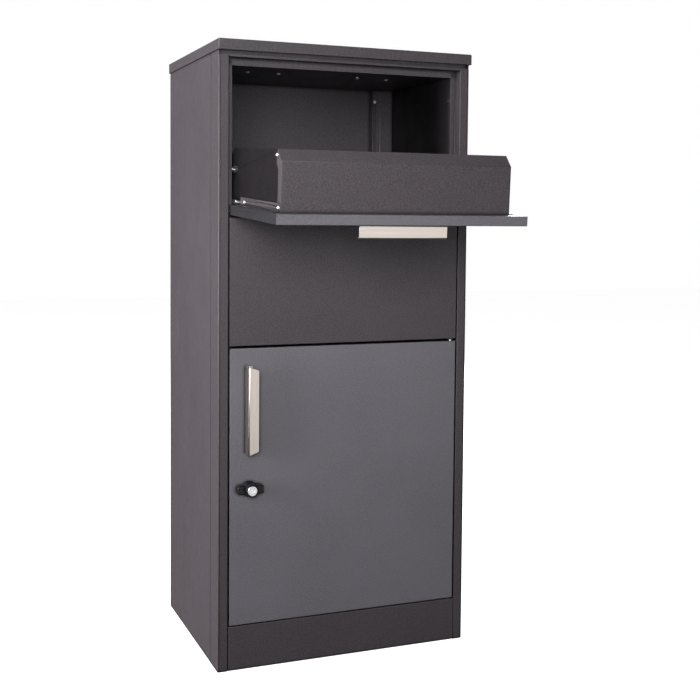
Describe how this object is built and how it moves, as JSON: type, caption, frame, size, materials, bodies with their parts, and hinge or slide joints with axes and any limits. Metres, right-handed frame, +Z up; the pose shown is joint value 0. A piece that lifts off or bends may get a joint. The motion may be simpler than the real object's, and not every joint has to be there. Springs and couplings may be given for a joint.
{
  "type": "parcel drop box",
  "caption": "Free-standing steel parcel drop box with a fold-down tray flap at the top, a fixed front panel and a lockable collection door below.",
  "frame": {"origin": "centre of the cabinet's footprint on the floor", "axes": "+X to the right seen from the front, +Y from the front to the back, +Z up; the front faces -Y"},
  "size_m": [0.438, 0.5681, 1],
  "materials": {
    "body_paint": "fine-textured warm anthracite powder coat",
    "leaf_paint": "satin neutral grey powder coat",
    "handle_steel": "stainless strip, brushed along its length",
    "zinc_plate": "bright zinc plating",
    "lock_plastic": "black glass-filled nylon",
    "lock_chrome": "bright chrome lock cylinder",
    "bush_nylon": "dark grey nylon",
    "bumper_rubber": "soft black rubber"
  },
  "bodies": {
    "cabinet": {"front_post_left": "body_paint", "front_post_right": "body_paint", "side_panel_left": "body_paint", "side_panel_right": "body_paint", "back_panel": "body_paint", "base_panel": "body_paint", "roof_panel": "body_paint", "top_rail": "body_paint", "plinth": "body_paint", "middle_panel": "body_paint", "rear_post_left": "body_paint", "rear_post_right": "body_paint", "rear_post_screws": "zinc_plate", "lid": "body_paint", "lid_rail_left": "body_paint", "lid_rail_right": "body_paint", "lid_screws": "zinc_plate", "side_studs": "zinc_plate", "panel_screws": "zinc_plate", "bumpers": "bumper_rubber", "flap_bushes": "bush_nylon", "door_bushes": "bush_nylon"},
    "door": {"door_panel": "leaf_paint", "door_inner_panel": "leaf_paint", "door_hinge_pins": "zinc_plate", "door_handle": "handle_steel", "door_handle_screws": "zinc_plate", "lock_escutcheon": "lock_plastic", "lock_nut": "zinc_plate"},
    "knob": {"lock_knob": "lock_plastic", "lock_spindle": "zinc_plate", "lock_cam": "zinc_plate", "lock_cam_screw": "zinc_plate"},
    "key_plug": {"lock_plug": "lock_chrome"},
    "flap": {"flap_panel": "leaf_paint", "flap_inner_panel": "leaf_paint", "flap_pivot_pins": "zinc_plate", "flap_hinge_bars": "zinc_plate", "flap_handle": "handle_steel", "flap_handle_screws": "zinc_plate", "tray_side_left": "body_paint", "tray_side_right": "body_paint", "tray_front_plate": "body_paint", "tray_angle_left": "body_paint", "tray_angle_right": "body_paint", "tray_screws": "zinc_plate", "tray_stop_bolts": "zinc_plate", "tray_stop_nuts": "zinc_plate", "retrieval_baffle": "body_paint"}
  },
  "joints": [
    {"name": "flap_hinge", "type": "hinge", "parent": "cabinet", "child": "flap", "pos_m": [0, -0.1615, 0.734], "axis": [-1, 0, 0], "range_deg": [0, 93.3]},
    {"name": "door_hinge", "type": "hinge", "parent": "cabinet", "child": "door", "pos_m": [0.1912, -0.1615, 0.2955], "axis": [0, 0, 1], "range_deg": [0, 110]},
    {"name": "knob_turn", "type": "hinge", "parent": "door", "child": "knob", "pos_m": [-0.1664, -0.1675, 0.293], "axis": [0, 1, 0], "range_deg": [0, 90]},
    {"name": "key_turn", "type": "hinge", "parent": "knob", "child": "key_plug", "pos_m": [-0.1664, -0.1675, 0.293], "axis": [0, 1, 0], "range_deg": [0, 90]}
  ]
}
